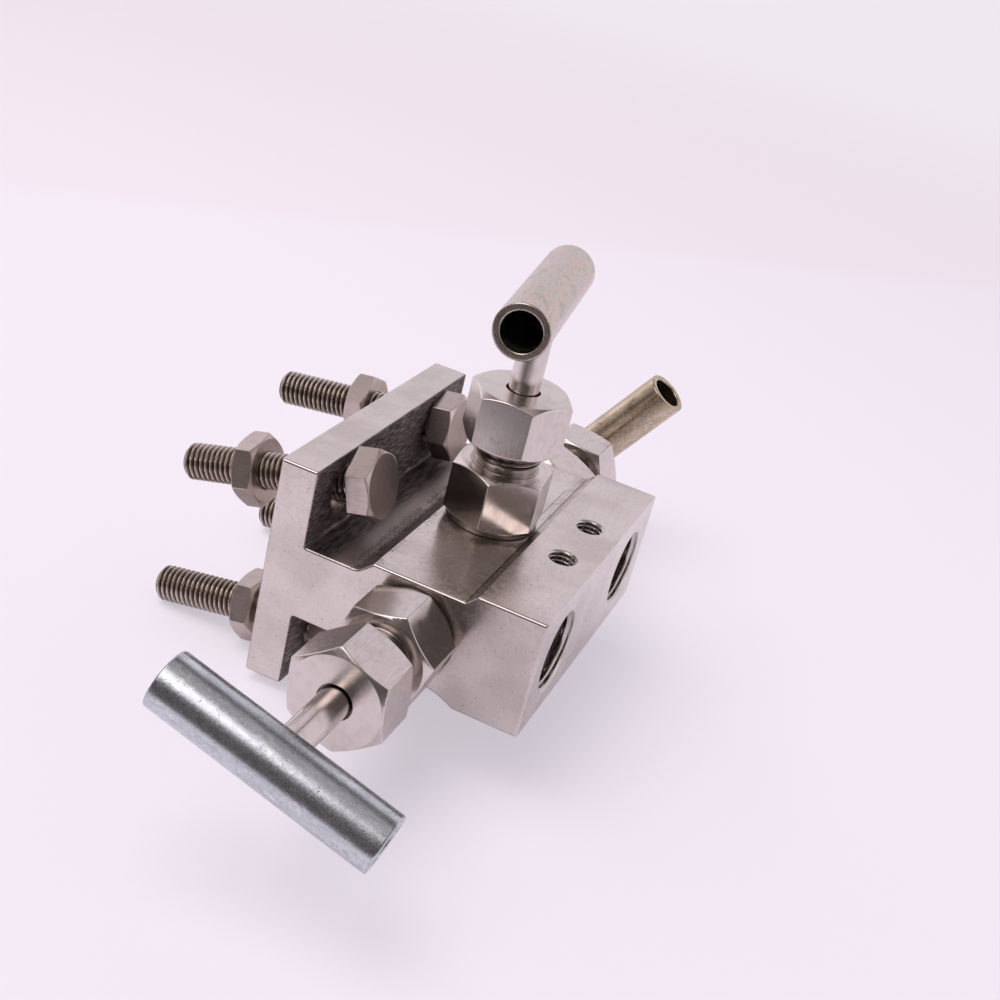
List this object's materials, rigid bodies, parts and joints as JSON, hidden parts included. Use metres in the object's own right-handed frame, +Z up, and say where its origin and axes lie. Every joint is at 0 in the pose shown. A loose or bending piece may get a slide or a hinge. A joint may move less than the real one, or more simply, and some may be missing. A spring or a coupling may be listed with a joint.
{
  "type": "instrument valve manifold",
  "caption": "Flanged instrument valve manifold with T-bar needle valves, threaded pipe ports and loose flange bolts.",
  "frame": {"origin": "centre of the flange's mating face, midway between the ports", "axes": "+X from the flange towards the threaded pipe ports, Y along the line of the two ports, +Z up through the equalising valve"},
  "size_m": [0.1126, 0.228, 0.116],
  "materials": {
    "stainless": "machined and polished",
    "bolt_steel": "as rolled, dull",
    "clear_zinc": "bright clear zinc plate",
    "yellow_zinc": "yellow chromate zinc plate",
    "packing": "matt"
  },
  "bodies": {
    "manifold": {"manifold_body": "stainless", "bonnet_near": "stainless", "bonnet_far": "stainless", "bonnet_top": "stainless", "cap_nut_near": "stainless", "cap_nut_far": "stainless", "cap_nut_top": "stainless", "packing_near": "packing", "packing_far": "packing", "packing_top": "packing", "gland_near": "stainless", "gland_far": "stainless", "gland_top": "stainless", "flange_bolt_near_top": "bolt_steel", "flange_bolt_far_top": "bolt_steel", "flange_bolt_near_bottom": "bolt_steel", "flange_bolt_far_bottom": "bolt_steel", "flange_nut_near_top": "bolt_steel", "flange_nut_far_top": "bolt_steel", "flange_nut_near_bottom": "bolt_steel", "flange_nut_far_bottom": "bolt_steel"},
    "needle_near": {"needle_near": "stainless"},
    "spindle_near": {"stem_near": "stainless", "handle_near": "clear_zinc"},
    "needle_far": {"needle_far": "stainless"},
    "spindle_far": {"stem_far": "stainless", "handle_far": "yellow_zinc"},
    "needle_top": {"needle_top": "stainless"},
    "spindle_top": {"stem_top": "stainless", "handle_top": "yellow_zinc"}
  },
  "joints": [
    {"name": "near_valve_lift", "type": "slide", "parent": "manifold", "child": "needle_near", "axis": [0, -1, 0], "range_m": [-0.003, 0.002]},
    {"name": "near_valve_turn", "type": "hinge", "parent": "needle_near", "child": "spindle_near", "pos_m": [0.041, -0.0445, 0], "axis": [0, -1, 0], "range_deg": [-1080, 720]},
    {"name": "far_valve_lift", "type": "slide", "parent": "manifold", "child": "needle_far", "axis": [0, 1, 0], "range_m": [-0.002, 0.003]},
    {"name": "far_valve_turn", "type": "hinge", "parent": "needle_far", "child": "spindle_far", "pos_m": [0.041, 0.0445, 0], "axis": [0, 1, 0], "range_deg": [-720, 1080]},
    {"name": "top_valve_lift", "type": "slide", "parent": "manifold", "child": "needle_top", "axis": [0, 0, 1], "range_m": [-0.002, 0.003]},
    {"name": "top_valve_turn", "type": "hinge", "parent": "needle_top", "child": "spindle_top", "pos_m": [0.041, 0, 0.0134], "axis": [0, 0, 1], "range_deg": [-720, 1080]}
  ],
  "couplings": [
    {"joint": "near_valve_lift", "follows": "near_valve_turn", "m_per_rad": 0.00015915},
    {"joint": "far_valve_lift", "follows": "far_valve_turn", "m_per_rad": 0.00015915},
    {"joint": "top_valve_lift", "follows": "top_valve_turn", "m_per_rad": 0.00015915}
  ]
}
